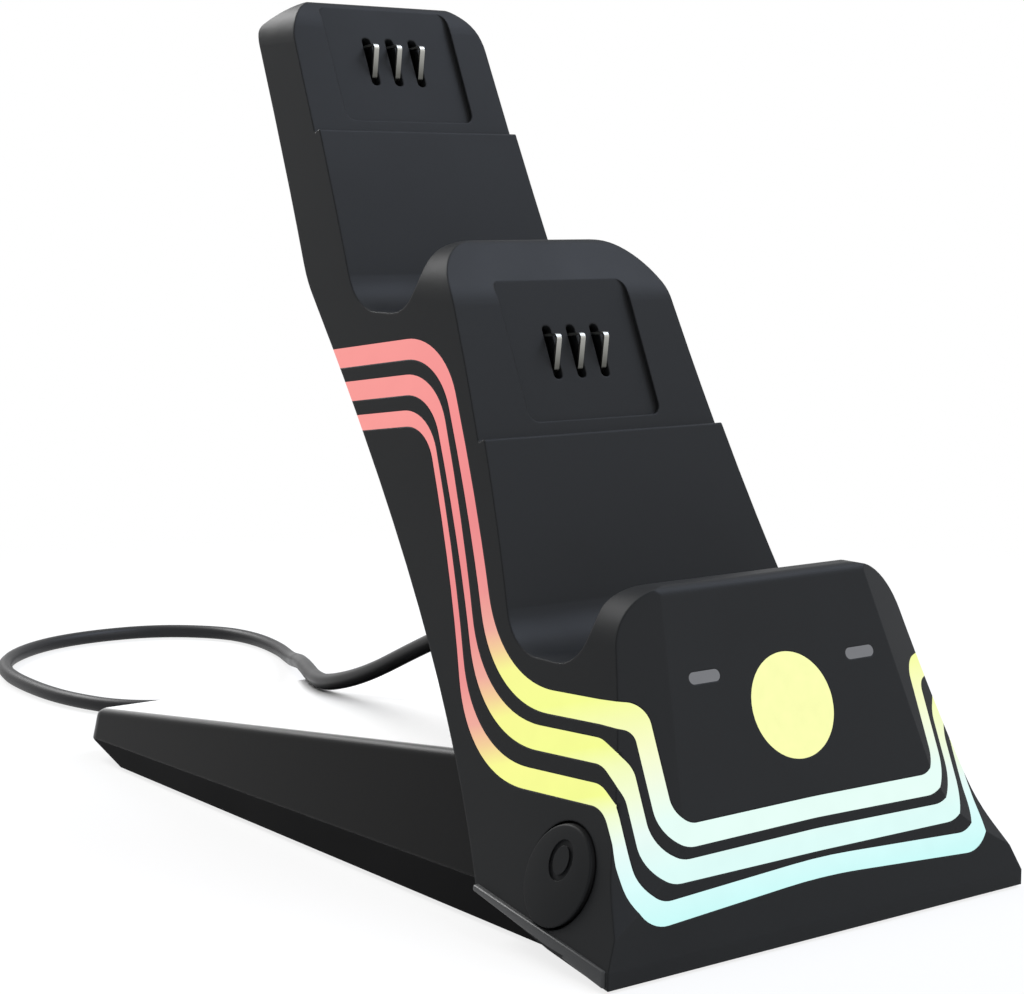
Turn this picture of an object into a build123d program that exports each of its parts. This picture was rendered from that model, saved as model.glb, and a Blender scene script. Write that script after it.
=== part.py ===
from build123d import *
import math
import os

# Charging dock for two game controllers: a stair-shaped housing with two cradles on a long wedge foot.
# Sizes are in millimetres. While modelling, y runs back from the front edge and z up from the table.

# Overall form
depth = 190.0              # front edge to the tail of the foot
base_half = 47.0           # half width on the table
neck_half = 21.3           # half width that the flared sides approach
flare_decay = 53.5         # height over which the flare falls to a third
toe_height = 3.0           # upright band at the bottom of the flare
flare_heights = [toe_height, 12.0, 24.0, 40.0, 62.0, 90.0, 125.0, 165.0]
wall = 2.6                 # housing wall
cover_wall = 2.4           # rear cover thickness
cover_drop = 5.0           # top edge of the rear cover below the slab's top end
cover_room = 0.6           # room behind the rear cover
seam = 0.15                # gap between a cover and its opening

# Front block
skirt_top_y = 4.4          # foot of the flat front panel
skirt_top_z = 22.7
skirt_round = 6.0
panel_lean = 19.5          # degrees from upright
lip_top_z = 58.0           # top of the front block
lip_rear_y = 24.5          # rear of the front block's lip
lip_rear_lean = 10.0
lip_front_round = 2.2
lip_rear_round = 3.2

# Bevelled front corners of the block
corner_turn = 20.0         # degrees that a bevel faces away from straight ahead
corner_reach = 8.45        # bevel's distance from the middle at its knee
corner_knee_z = 15.0
corner_rise = 0.385        # inward run of the bevel for each mm of height above the knee
corner_spread = 0.8        # the same below the knee
corner_round = 30.0

# Cradles: the second repeats the first, one step back and up
lean = 24.0                # backrest, degrees from upright
step_back = 59.3
step_up = 55.0
trough_z = 44.7            # floor of the lower trough
trough_front_round = 7.5
trough_rear_round = 11.0
notch_y = 60.3             # where the backrest steps back
notch_z = 78.3
notch_step = 1.8
notch_round = 0.4
crown_lean = 43.0          # rounded crown above a backrest
crown_z = 103.5            # where the lower crown starts
crown_round = 12.0
ridge_round = 2.0          # edge of the second block's lip
slab_top_z = 159.8
slab_crown = 3.6           # height of the crown on the top slab
slab_thickness = 12.4
slab_corner = 9.0          # rounded top corners seen from the front
lip_corner = 11.5          # the same on the two lips
slab_edge = 1.5

# Rear face
rear_lean = 40.5
rear_foot_y = 30.9         # where the rear face meets the table
rear_bend_round = 24.0

# Foot and base plate
foot_half = 42.0           # half width on the table
foot_draft = 12.0          # degrees that its sides lean in
foot_top_slope = 6.7       # degrees that its top falls to the tail
tail_top_y = 185.0
tail_top_z = 10.6
tail_nose_z = 6.0
tail_lift_y = 171.0        # where the underside starts to rise
band_rear_y = tail_top_y + 1.0
band_rear_z = 4.2          # seam between foot and base plate at the tail
tail_corner = 7.0
foot_edge = 2.2
foot_wall = 2.4
plate_floor = 2.0          # thickness of the base plate's floor under the foot
rim_front_z = 0.3          # lower rim of the housing at the front
rim_rear_z = 6.9           # and where it meets the foot
rim_gap = 0.6              # shadow gap under the rim
plate_front_y = wall + rim_gap
feet_height = 0.6          # rubber feet below the plate

# Recesses and contacts
recess_half = 15.2
recess_low = 3.0           # above the notch, along the backrest
recess_round = 2.2
recess_depth = 1.0
recess_run = 3.0           # the recess runs out in the crown
slot_width = 2.0
slot_round = 0.9
slot_low = 11.2            # above the notch, along the backrest
slot_high = 21.6
contact_pitch = 5.5
contact_count = 3
leaf_width = 1.1
leaf_thickness = 0.45
leaf_root_up = 12.2        # pivot of a leaf, above the notch
leaf_root_in = 3.6         # and behind the backrest
leaf_apex_up = 18.6
leaf_apex_out = 2.2
leaf_neck_up = 13.2
leaf_neck_in = 1.2
leaf_end_up = 20.0
leaf_end_in = 1.8
leaf_bend = 0.7
root_radius = 0.65
block_half = 11.5
block_low = 7.0
block_high = 23.4
block_bevel = 2.0          # clears the crown
block_depth = 5.2
pocket_depth = 4.4
board_thickness = 1.6
stake_radius = 1.1
stake_x = 9.2
stake_gap = 0.1
stake_proud = 0.3          # formed end of a stake behind the board

# Lights
light_depth = 1.4          # light guides are let into the wall by this
emblem_radius = 9.0
emblem_z = 37.1
window_x = 17.6
window_z = 43.6
window_length = 6.6
window_height = 2.0

# Light stripes on the side: height at the rear, run from top to bottom, height below, two bend radii
stripe_sides = [
    (96.6, 73.4, 45.4, 39.5, 16.0, 23.0),
    (92.7, 74.4, 46.4, 35.7, 14.0, 24.0),
    (89.9, 74.8, 48.6, 33.5, 13.0, 25.0),
    (86.0, 76.0, 47.8, 29.6, 11.0, 25.0),
    (83.2, 76.2, 49.1, 26.6, 11.0, 25.0),
    (80.2, 76.5, 49.1, 23.2, 9.0, 25.0),
]
stripe_rear_fall = 0.125   # the stripes drop towards the rear edge
stripe_rear_y = 135.0
stripe_rise = 0.05         # the side runs rise a little towards the corner
stripe_dip = 4.5           # and bend down this far behind it
stripe_dip_round = 6.0
stripe_lap = 0.05          # side and front runs lap by this at the corner
stripe_bow = 150.0         # radius of the front stripes' rise in the middle
# Light stripes on the front: height at the corner, run in and down to the leg, height at the legs and in
# the middle, two bend radii
stripe_fronts = [
    (41.2, 4.4, 0.6, 22.3, 22.6, 3.5, 4.0),
    (37.2, 2.4, 0.6, 18.7, 19.2, 2.0, 6.0),
    (33.6, 1.9, 2.4, 17.0, 17.5, 4.0, 6.0),
    (28.8, 0.9, 2.0, 13.7, 13.9, 4.0, 6.0),
    (26.1, 0.1, 1.8, 11.3, 13.0, 4.0, 5.0),
    (20.2, -0.35, 3.0, 7.6, 9.9, 3.0, 6.0),
]

# Mode button on the left side
button_y = 17.7
button_z = 13.6
button_radius = 7.8
button_gap = 0.4
button_cap = 4.0           # thickness of the cap
button_stem = 2.5
button_travel = 0.8
switch_clear = 0.1

# Boards, posts and screws
board_z = 9.4
board_half = 29.0
board_front_y = 7.5
board_rear_y = 33.0
switch_size = 6.0
switch_inset = 1.0         # from the board's edge
plunger_radius = 1.6
plunger_length = 1.4
post_radius = 3.0
seat_radius = post_radius + 1.0
screw_radius = 1.4
screw_head_radius = 2.8
screw_head = 1.4
screw_length = 7.0
base_screw_length = 9.0
screw_gap = 0.1
foot_pad_radius = 5.0
foot_pad_sink = 1.0
pad_places = [(24.0, 12.0), (30.0, 160.0)]
shell_screw = (32.4, 12.0)
shell_boss_top = 32.0
shell_boss_z = 5.0         # where the shell's bosses stand on the base plate
foot_screws = [(28.0, 75.0), (26.0, 150.0)]
slab_screw = (16.0, 14.0)  # across and up the upper backrest
rear_screw_x = 20.0
rear_screw_z = 60.0
rear_boss_length = 40.0
post_inset = 4.0           # board posts from the board's edges
board_screw_length = 4.0

# Lead
cord_diameter = 3.6
relief_z = 57.0            # height of the outlet on the rear face
relief_length = 16.0
lead_out = 16.0            # straight lead beyond the strain relief
relief_base = 5.0
relief_tip = 2.9
relief_neck = 4.0
relief_flange = 5.5
relief_flange_thickness = 1.4
coil_x = 75.0
coil_y = 148.0
coil_mid_radius = 18.9
coil_lanes = 4.5           # width of the coil's section in turns
coil_layers = 2
coil_height = coil_layers * cord_diameter
coil_edge = 0.49 * cord_diameter
coil_lift = 0.8            # room for the tie below the coil
coil_tail = 22.0           # lead between coil and plug
tie_thickness = 0.7
tie_width = 9.0
bend_share = 0.45          # share of a run that a bend takes at each end
lead_length = 1312.0
plug_length = 24.0
plug_width = 15.6
plug_height = 8.0
plug_round = 2.0
shell_length = 12.0
shell_width = 12.0
shell_height = 4.5
shell_sheet = 0.4
tongue_height = 1.8
tail_lane = 1.62           # the lane that leads to the plug, out from the middle of the coil's section
plug_x = coil_x + coil_mid_radius + tail_lane * cord_diameter
# Lead from the strain relief over the foot and down to the table
lead_over = [
    (1.0, 125.0, 28.0),
    (3.0, 147.0, 20.0),
    (8.5, 167.0, 17.2),
    (16.0, 185.0, 16.6),
    (24.0, 203.0, 11.5),
    (33.0, 223.0, 4.6),
]
# Lead on the table, round to the coil
lead_table = [
    (41.0, 242.0), (49.0, 262.0), (55.5, 281.0), (54.0, 298.0), (40.0, 309.0), (20.0, 311.5), (1.0, 305.0),
    (-14.0, 292.0), (-23.0, 273.0), (-26.5, 252.0), (-26.0, 232.0), (-17.0, 215.5), (0.0, 208.0),
    (20.0, 206.5), (36.0, 206.0), (50.0, 201.0), (57.0, 188.0), (54.5, 170.0), (49.8, 151.0),
]


def half_width(z, inset=0.0):
    """Half width of the flared housing at a height."""
    flare = math.exp(-max(z - toe_height, 0.0) / flare_decay)
    return neck_half + (base_half - neck_half) * flare - inset


def on_line(y, z, angle, height):
    """Depth of a line that leans back by an angle, at a height."""
    return y + math.tan(math.radians(angle)) * (height - z)


def meet(y1, z1, angle1, y2, z2, angle2):
    """Crossing of two leaning lines."""
    t1 = math.tan(math.radians(angle1))
    t2 = math.tan(math.radians(angle2))
    z = (y2 - t2 * z2 - y1 + t1 * z1) / (t1 - t2)
    return on_line(y1, z1, angle1, z), z


def rear_y(z):
    """Depth of the lower rear face at a height."""
    return on_line(rear_foot_y, 0.0, rear_lean, z)


def seat_plane(cradle):
    """Plane of a backrest: x across, y up the backrest, z out of it, from the middle of the notch."""
    s = math.sin(math.radians(lean))
    c = math.cos(math.radians(lean))
    origin = (0, notch_y + cradle * step_back, notch_z + cradle * step_up)
    return Plane(origin=origin, x_dir=(1, 0, 0), z_dir=(0, -c, s))


def rear_plane(height):
    """Plane on the lower rear face: z out of it."""
    s = math.sin(math.radians(rear_lean))
    c = math.cos(math.radians(rear_lean))
    return Plane(origin=(0, rear_y(height), height), x_dir=(1, 0, 0), z_dir=(0, c, -s))


def panel_plane(height):
    """Plane on the flat front panel: z out of it."""
    s = math.sin(math.radians(panel_lean))
    c = math.cos(math.radians(panel_lean))
    y = on_line(skirt_top_y, skirt_top_z, panel_lean, height)
    return Plane(origin=(0, y, height), x_dir=(1, 0, 0), z_dir=(0, -c, s))


def cradle_corners(cradle):
    """Profile corners of a trough and its backrest, each with a bend radius."""
    back = cradle * step_back
    up = cradle * step_up
    s = math.sin(math.radians(lean)) * notch_step
    c = math.cos(math.radians(lean)) * notch_step
    floor = trough_z + up
    front = on_line(lip_rear_y + back, lip_top_z + up, lip_rear_lean, floor)
    proud_y = notch_y + back - c
    proud_z = notch_z + up + s
    return [
        (front, floor, trough_front_round),
        (on_line(proud_y, proud_z, lean, floor), floor, trough_rear_round),
        (proud_y, proud_z, notch_round),
        (notch_y + back, notch_z + up, notch_round),
    ]


def slab_corners():
    """Top end of the slab: start of the crown, top edge and rear edge."""
    y0 = notch_y + step_back
    z0 = notch_z + step_up
    start_z = slab_top_z - slab_crown
    start_y = on_line(y0, z0, lean, start_z)
    top_y = on_line(start_y, start_z, crown_lean, slab_top_z)
    flat_y = on_line(y0, z0, lean, slab_top_z)
    rear = flat_y + slab_thickness * math.cos(math.radians(lean))
    rear_z = slab_top_z - slab_thickness * math.sin(math.radians(lean))
    return (start_y, start_z), (top_y, slab_top_z), (rear, rear_z)


def profile(low):
    """Side outline of the stair-shaped housing, down to a height."""
    ridge_z = lip_top_z + step_up
    crown_y = on_line(notch_y, notch_z, lean, crown_z)
    start, top, rear = slab_corners()
    bend = meet(rear[0], rear[1], lean, rear_foot_y, 0.0, rear_lean)
    corners = [
        (0.0, low, 0.0),
        (0.0, toe_height, 0.0),
        (skirt_top_y, skirt_top_z, skirt_round),
        (on_line(skirt_top_y, skirt_top_z, panel_lean, lip_top_z), lip_top_z, lip_front_round),
        (lip_rear_y, lip_top_z, lip_rear_round),
    ]
    corners += cradle_corners(0)
    corners += [
        (crown_y, crown_z, crown_round),
        (on_line(crown_y, crown_z, crown_lean, ridge_z), ridge_z, ridge_round),
        (lip_rear_y + step_back, ridge_z, ridge_round),
    ]
    corners += cradle_corners(1)
    corners += [
        (start[0], start[1], crown_round),
        (top[0], top[1], slab_edge),
        (rear[0], rear[1], slab_edge),
        (bend[0], bend[1], rear_bend_round),
        (rear_y(low), low, 0.0),
    ]
    points = [(y, z) for y, z, r in corners]
    radii = [r for y, z, r in corners]
    return make_face(FilletPolyline(*points, radius=radii, close=True))


def tier(front, rear, top, corner, inset):
    """Flared front outline run from a tier's front to its rear, with its top corners rounded."""
    right = Spline(*[(half_width(z, inset), z) for z in flare_heights])
    left = mirror(right, Plane.YZ)
    toe = half_width(0.0, inset)
    rim = Polyline(left @ 0, (-toe, 0), (toe, 0), right @ 0)
    face = make_face([right, Line(right @ 1, left @ 1), left, rim])
    face &= Rectangle(2 * toe, top - inset, align=(Align.CENTER, Align.MIN))
    plane = Plane(origin=(0, front, 0), x_dir=(1, 0, 0), z_dir=(0, -1, 0))
    block = extrude(plane * face, amount=-(rear - front))
    return fillet(block.edges().filter_by(Axis.Y).group_by(Axis.Z)[-1], corner)


def corner_cut(inset):
    """What the left bevelled front corner takes away."""
    reach = corner_reach - inset
    high = slab_top_z
    far = 2.0 * base_half
    top = reach - corner_rise * (high - corner_knee_z)
    foot = reach + corner_spread * corner_knee_z
    edge = FilletPolyline((top, high), (reach, corner_knee_z), (foot, 0.0), radius=[corner_round])
    rest = Polyline((foot, 0.0), (far, 0.0), (far, high), (top, high))
    a = math.radians(corner_turn)
    out = (-math.sin(a), -math.cos(a), 0)
    plane = Plane(origin=(0, 0, 0), x_dir=out, z_dir=(out[1], -out[0], 0))
    return extrude(plane * make_face([edge, rest]), amount=far, both=True)


def form(side, side_inset=0.0, corner_inset=0.0):
    """A side outline run across and cut to the flared front outline and the bevelled corners."""
    trough_mid = 0.5 * (lip_rear_y + on_line(notch_y, notch_z, lean, lip_top_z))
    splits = [-wall, trough_mid, trough_mid + step_back, depth]
    tops = [(lip_top_z, lip_corner), (lip_top_z + step_up, lip_corner), (slab_top_z, slab_corner)]
    tiers = Part()
    for index, (top, corner) in enumerate(tops):
        tiers += tier(splits[index], splits[index + 1], top, corner, side_inset)
    cut = corner_cut(corner_inset)
    return (extrude(Plane.YZ * side, amount=2 * base_half, both=True) & tiers) - cut - mirror(cut, Plane.YZ)


def rear_band(thickness, drop):
    """Side outline of a band under the rear face, from below the slab's top end to the table."""
    s = math.sin(math.radians(lean))
    c = math.cos(math.radians(lean))
    low_y = rear_foot_y - thickness * math.cos(math.radians(rear_lean))
    low_z = thickness * math.sin(math.radians(rear_lean))
    rear = slab_corners()[2]
    end = (rear[0] - drop * s, rear[1] - drop * c)
    inner = (end[0] - thickness * c, end[1] + thickness * s)
    bend = meet(end[0], end[1], lean, rear_foot_y, 0.0, rear_lean)
    inner_bend = meet(inner[0], inner[1], lean, low_y, low_z, rear_lean)
    foot = (on_line(low_y, low_z, rear_lean, 0.0), 0.0)
    return make_face(Polyline(end, bend, (rear_foot_y, 0.0), foot, inner_bend, inner, close=True))


def rim_z(y):
    """Height of the housing's lower rim at a depth."""
    return rim_front_z + (rim_rear_z - rim_front_z) * y / rear_y(rim_rear_z)


def below_rim():
    """Everything under the housing's lower rim."""
    ends = (-depth, depth)
    corners = [(ends[0], -depth), (ends[1], -depth), (ends[1], rim_z(ends[1])), (ends[0], rim_z(ends[0]))]
    return extrude(Plane.YZ * make_face(Polyline(*corners, close=True)), amount=2 * base_half, both=True)


def pill(plane, x, y, radius, start, end):
    """Round bar on a plane, from one distance off it to another."""
    return extrude(plane.offset(start) * Pos(x, y) * Circle(radius), amount=end - start)


def brick(plane, x, low, high, half, start, end, corner=0.0):
    """Block on a plane: across by its half width, up from low to high, out from start to end."""
    face = Rectangle(2 * half, high - low)
    if corner:
        face = RectangleRounded(2 * half, high - low, corner)
    return extrude(plane.offset(start) * Pos(x, 0.5 * (low + high)) * face, amount=end - start)


def both_sides(shape):
    """A piece and its mirror image."""
    return shape + mirror(shape, Plane.YZ)


def screw(plane, x, y, length=screw_length, gap=0.0):
    """Screw driven in against a plane's outward side, its head's top in the plane."""
    head = pill(plane, x, y, screw_head_radius + gap, -screw_head, 0.0)
    return head + pill(plane, x, y, screw_radius + gap, -screw_head - length, -screw_head)


def corner_y(z):
    """Depth of the edge between a bevelled corner and the side, at a height."""
    a = math.radians(corner_turn)
    reach = corner_reach - corner_rise * (z - corner_knee_z)
    return (half_width(z) * math.sin(a) - reach) / math.cos(a)


def stripe(index, outer, core):
    """One light guide along the left side, over the left corner, across the front and back on the right."""
    sides = []
    fronts = []
    for row in (2 * index, 2 * index + 1):
        top_z, top_y, low_y, low_z, top_round, low_round = stripe_sides[row]
        corner_z, leg_in, leg_fall, leg_z, mid_z, leg_top, leg_low = stripe_fronts[row]
        rear_z = top_z - stripe_rear_fall * (stripe_rear_y - top_y)
        end_y = corner_y(corner_z)
        dip_y = end_y + stripe_dip
        dip_z = low_z + stripe_rise * (low_y - dip_y)
        sides.append(FilletPolyline((stripe_rear_y, rear_z), (top_y, top_z), (low_y, low_z), (dip_y, dip_z),
                                    (end_y - stripe_lap, corner_z),
                                    radius=[top_round, low_round, stripe_dip_round]))
        edge = half_width(corner_z)
        leg = edge - leg_in
        right = [(leg, leg_z), (leg, corner_z - leg_fall), (edge + leg_in, corner_z + leg_fall)]
        left = [(-x, z) for x, z in reversed(right)]
        fronts.append(FilletPolyline(*left, (0, mid_z), *right,
                                     radius=[leg_top, leg_low, stripe_bow, leg_low, leg_top]))
    bands = []
    for upper, lower in (sides, fronts):
        bands.append(make_face([upper, lower, Line(upper @ 0, lower @ 0), Line(upper @ 1, lower @ 1)]))
    left = extrude(Plane.YZ.offset(-base_half - wall) * bands[0], amount=base_half)
    left -= Pos(0, -light_depth, 0) * core
    plane = Plane(origin=(0, -wall, 0), x_dir=(1, 0, 0), z_dir=(0, -1, 0))
    front = extrude(plane * bands[1], amount=-depth)
    return ((both_sides(left) + (front & ahead_of_corner(index))) & outer) - Pos(0, light_depth, 0) * core


def ahead_of_corner(index):
    """Everything ahead of the edge between the side and the bevelled corner, where a stripe crosses it."""
    heights = [stripe_fronts[row][0] for row in (2 * index, 2 * index + 1)]
    ends = [corner_y(z) for z in heights]
    slope = (ends[0] - ends[1]) / (heights[0] - heights[1])
    edge = [(ends[0] + stripe_lap + slope * (z - heights[0]), z) for z in (0.0, lip_top_z)]
    face = make_face(Polyline((-wall, 0.0), edge[0], edge[1], (-wall, lip_top_z), close=True))
    return extrude(Plane.YZ * face, amount=2 * base_half, both=True)


def foot_prism(inset):
    """Drafted plan of the foot, up from the table."""
    spill = tail_nose_z * math.tan(math.radians(foot_draft))
    length = depth + spill - plate_front_y - 2 * inset
    face = RectangleRounded(2 * (foot_half - inset), length, tail_corner - inset)
    middle = 0.5 * (depth + spill + plate_front_y)
    return extrude(Pos(0, middle) * face, amount=foot_half, taper=foot_draft)


def foot_hollow():
    """The room inside the foot, open below."""
    t = math.radians(foot_top_slope)
    front_y = rear_foot_y + foot_wall / math.cos(math.radians(rear_lean))
    top_z = tail_top_z - foot_wall / math.cos(t)
    end_y = tail_top_y - 2 * foot_wall
    end_z = top_z + (tail_top_y - end_y) * math.tan(t)
    corner = meet(front_y, 0.0, rear_lean, tail_top_y, top_z, foot_top_slope - 90.0)
    side = Polyline((front_y, 0.0), (end_y, 0.0), (end_y, end_z), corner, close=True)
    return extrude(Plane.YZ * make_face(side), amount=foot_half, both=True) & foot_prism(foot_wall)


def foot_block():
    """The foot's wedge with its long edges rounded."""
    fall = math.tan(math.radians(foot_top_slope))
    ends = [(y, tail_top_z + fall * (tail_top_y - y)) for y in (-depth, 2 * depth)]
    below_top = Polyline(ends[0], ends[1], (2 * depth, -depth), (-depth, -depth), close=True)
    block = foot_prism(0.0) & extrude(Plane.YZ * make_face(below_top), amount=foot_half, both=True)
    top = block.faces().filter_by(lambda f: f.normal_at().Z > 0.9)[0]
    block = fillet(top.edges(), foot_edge)
    corner = meet(rear_foot_y, 0.0, rear_lean, tail_top_y, tail_top_z, foot_top_slope - 90.0)
    side = Polyline((rear_y(rim_rear_z), rim_rear_z), (band_rear_y, band_rear_z), (depth, tail_nose_z),
                    (tail_top_y, tail_top_z), corner, close=True)
    return extrude(Plane.YZ * make_face(side), amount=foot_half, both=True) & block


def make_foot():
    """Foot shell with bosses for the base screws."""
    block = foot_block()
    shell = block - foot_hollow()
    for x, y in foot_screws:
        shell += both_sides(pill(Plane.XY, x, y, post_radius, 0.0, foot_half)) & block
    return shell


def make_plate():
    """Base plate: solid under the housing, a tray under the foot, with pads and board posts."""
    joint = rear_y(rim_rear_z)
    floor = feet_height + plate_floor
    side = Polyline((plate_front_y, feet_height), (tail_lift_y, feet_height), (band_rear_y, band_rear_z),
                    (joint, rim_rear_z), (joint, rim_rear_z - rim_gap), (plate_front_y, floor), close=True)
    plate = extrude(Plane.YZ * make_face(side), amount=foot_half, both=True) & foot_prism(0.0)
    room = tail_lift_y - joint - 4 * foot_wall
    tray = Pos(0, 0.5 * (joint + tail_lift_y), floor) * Box(2 * foot_half, room, foot_half,
                                                              align=(Align.CENTER, Align.CENTER, Align.MIN))
    for x, y in foot_screws:
        tray -= both_sides(pill(Plane.XY, x, y, seat_radius, 0.0, foot_half))
    plate -= tray & foot_prism(foot_wall)
    x, y = shell_screw
    plate += both_sides(pill(Plane.XY, x, y, seat_radius, feet_height, shell_boss_z))
    for y in (board_front_y + post_inset, board_rear_y - post_inset):
        plate += both_sides(pill(Plane.XY, board_half - post_inset, y, post_radius, feet_height, board_z))
    return plate


def leaf(cradle, index):
    """One leaf spring contact with its rolled root."""
    seat = seat_plane(cradle)
    x = (index - 0.5 * (contact_count - 1)) * contact_pitch
    across = Plane(origin=seat.from_local_coords((x, 0, 0)), x_dir=seat.y_dir, z_dir=(1, 0, 0))
    path = FilletPolyline((leaf_root_up, -leaf_root_in), (leaf_neck_up, -leaf_neck_in),
                          (leaf_apex_up, leaf_apex_out), (leaf_end_up, -leaf_end_in), radius=leaf_bend)
    strip = extrude(across * trace(path, leaf_thickness), amount=0.5 * leaf_width, both=True)
    root = extrude(across * Pos(leaf_root_up, -leaf_root_in) * Circle(root_radius), amount=0.5 * leaf_width,
                   both=True)
    return strip + root


def make_relief():
    """Strain relief: flange behind the cover, neck through it and a tapered boot outside."""
    rear = rear_plane(relief_z)
    half = Plane(origin=rear.origin, x_dir=rear.x_dir, z_dir=-rear.y_dir)
    inside = -cover_wall - relief_flange_thickness
    outline = Polyline((0, inside), (relief_flange, inside), (relief_flange, -cover_wall),
                       (relief_neck, -cover_wall), (relief_neck, 0), (relief_base, 0),
                       (relief_tip, relief_length), (0, relief_length), close=True)
    return revolve(half * make_face(outline), Axis(rear.origin, rear.z_dir))


def bend_radii(points):
    """Bend radii that leave a short straight run between the lead's arcs."""
    radii = []
    for before, corner, after in zip(points, points[1:], points[2:]):
        run_in = Vector(*corner) - Vector(*before)
        run_out = Vector(*after) - Vector(*corner)
        turn = math.radians(run_in.get_angle(run_out))
        radii.append(bend_share * min(run_in.length, run_out.length) / math.tan(0.5 * turn))
    return radii


def make_coil():
    """Outer shape of the coiled lead, with the short end that leads to the plug."""
    section = RectangleRounded(coil_lanes * cord_diameter, coil_height, coil_edge)
    section = Pos(coil_mid_radius, coil_lift + 0.5 * coil_height) * section
    ring = Pos(coil_x, coil_y) * revolve(Plane.XZ * section, Axis.Z)
    along = Plane(origin=(plug_x, coil_y, 0.5 * plug_height), x_dir=(1, 0, 0), z_dir=(0, 1, 0))
    return ring + extrude(along * Circle(0.5 * cord_diameter), amount=coil_tail)


def make_plug():
    """Moulded plug and its metal shell with the contact tongue."""
    face = Plane(origin=(plug_x, coil_y + coil_tail, 0.5 * plug_height), x_dir=(1, 0, 0), z_dir=(0, 1, 0))
    body = extrude(face * RectangleRounded(plug_width, plug_height, plug_round), amount=plug_length)
    front = face.offset(plug_length)
    sheet = Rectangle(shell_width, shell_height)
    sheet -= Rectangle(shell_width - 2 * shell_sheet, shell_height - 2 * shell_sheet)
    tongue = Pos(0, 0.5 * (shell_height - tongue_height) - shell_sheet)
    tongue *= Rectangle(shell_width - 2 * shell_sheet, tongue_height)
    metal = extrude(front * sheet, amount=shell_length)
    metal += extrude(front * tongue, amount=shell_length - shell_sheet)
    return body, metal


side = profile(0.0)
outer = form(side)
inside = offset(profile(-wall), amount=-wall, kind=Kind.INTERSECTION)
inside += rear_band(wall + cover_room, cover_drop)
hollow = form(inside, wall, wall)
core = form(side, light_depth)

# Pieces let into the housing
guides = [stripe(index, outer, core) for index in range(len(stripe_sides) // 2)]
panel = panel_plane(emblem_z)
emblem = pill(panel, 0, 0, emblem_radius, -light_depth, 0.0)
window_up = (window_z - emblem_z) / math.cos(math.radians(panel_lean))
bar = panel.offset(-light_depth) * Pos(window_x, window_up) * SlotOverall(window_length, window_height)
window_right = extrude(bar, amount=light_depth)
window_left = mirror(window_right, Plane.YZ)

# Screws
under = Plane(origin=(0, 0, feet_height), x_dir=(1, 0, 0), z_dir=(0, 0, -1))
slab = seat_plane(1)
slab_rear = Plane(origin=slab.from_local_coords((0, 0, -slab_thickness)), x_dir=(1, 0, 0), z_dir=-slab.z_dir)
rear_seat = rear_plane(rear_screw_z)
board_top = board_z + board_thickness


def base_screws(gap):
    """Screws from below into the housing and the foot."""
    places = [shell_screw] + foot_screws
    return both_sides(Part() + [screw(under, x, -y, base_screw_length, gap) for x, y in places])


def cover_screws(gap):
    """Screws through the rear cover."""
    upper = screw(slab_rear, slab_screw[0], -slab_screw[1], screw_length, gap)
    return both_sides(upper + screw(rear_seat, rear_screw_x, 0, screw_length, gap))


def board_screws(gap):
    """Screws through the main board into its posts."""
    plane = Plane.XY.offset(board_top + screw_head)
    x = board_half - post_inset
    ends = (board_front_y + post_inset, board_rear_y - post_inset)
    return both_sides(Part() + [screw(plane, x, y, board_screw_length, gap) for y in ends])


# Mode button and its switch
cap_x = button_cap - half_width(button_z)
switch_x = switch_inset - board_half
plunger_x = switch_x - plunger_length
stem_x = plunger_x - button_travel - switch_clear
button = pill(Plane.YZ, button_y, button_z, button_radius, -2 * base_half, cap_x) & outer
button += pill(Plane.YZ, button_y, button_z, button_stem, cap_x, stem_x)
button_hole = pill(Plane.YZ, button_y, button_z, button_radius + button_gap, -2 * base_half, cap_x + wall)
half = 0.5 * switch_size
switch = brick(Plane.XY, switch_x + half, button_y - half, button_y + half, half, board_top,
               2 * button_z - board_top)
switch += pill(Plane.YZ, button_y, button_z, plunger_radius, plunger_x, switch_x)

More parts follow.
